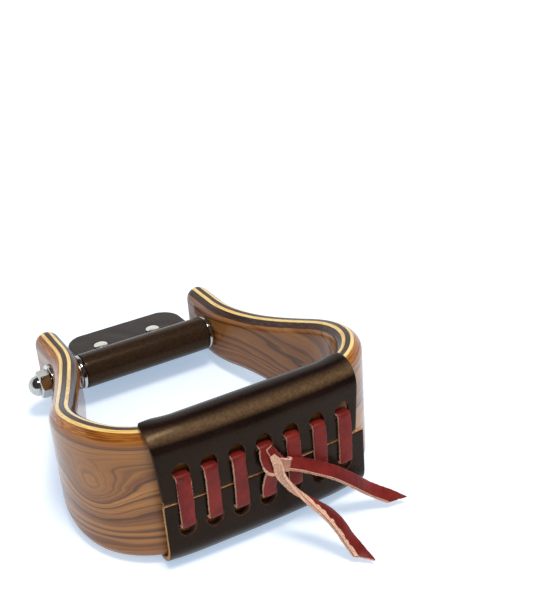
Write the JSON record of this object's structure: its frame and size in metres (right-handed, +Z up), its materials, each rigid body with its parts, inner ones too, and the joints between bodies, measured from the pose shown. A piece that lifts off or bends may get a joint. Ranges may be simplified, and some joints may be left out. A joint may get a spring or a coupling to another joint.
{
  "type": "wooden stirrup",
  "caption": "Bent laminated wooden saddle stirrup with a leather cover laced round the tread and a leather-wrapped roller bar across the neck, lying on its side.",
  "frame": {"origin": "middle of the bottom of the resting box, with the two loose lace ends left out; +Z 0 is the bench it lies on", "axes": "+X along the bar towards the bolt head, +Y from the tread towards the neck, +Z up through the depth of the loop"},
  "size_m": [0.1512, 0.2096, 0.0696],
  "materials": {
    "figured_wood": "figured brown veneer under gloss lacquer",
    "dark_wood": "dark ply under gloss lacquer",
    "light_wood": "pale ply under gloss lacquer",
    "polished_metal": "bright nickel plate",
    "satin_steel": "satin",
    "dark_leather": "dark brown, waxed and smooth",
    "red_leather": "oxblood, with a pale fuzzy flesh side and edges"
  },
  "bodies": {
    "stirrup": {"ply_face_inner": "figured_wood", "ply_dark_inner": "dark_wood", "ply_light_inner": "light_wood", "ply_core": "dark_wood", "ply_light_outer": "light_wood", "ply_dark_outer": "dark_wood", "ply_face_outer": "figured_wood", "bolt": "polished_metal", "cap_nut": "polished_metal", "washer_nut_side": "polished_metal", "washer_head_side": "polished_metal", "tread_cover": "dark_leather", "lace_left": "red_leather", "lace_right": "red_leather", "lace_knot": "red_leather", "lace_tail_right": "red_leather", "lace_tail_low": "red_leather"},
    "bar_roller": {"roller_tube": "satin_steel", "roller_ring_left": "polished_metal", "roller_ring_right": "polished_metal", "bar_wrap": "dark_leather", "flap_rivet_left": "satin_steel", "flap_rivet_right": "satin_steel"}
  },
  "joints": [
    {"name": "bar_roller_spin", "type": "hinge", "parent": "stirrup", "child": "bar_roller", "pos_m": [0, 0.05049, 0.01913], "axis": [1, 0, 0], "continuous": true}
  ]
}
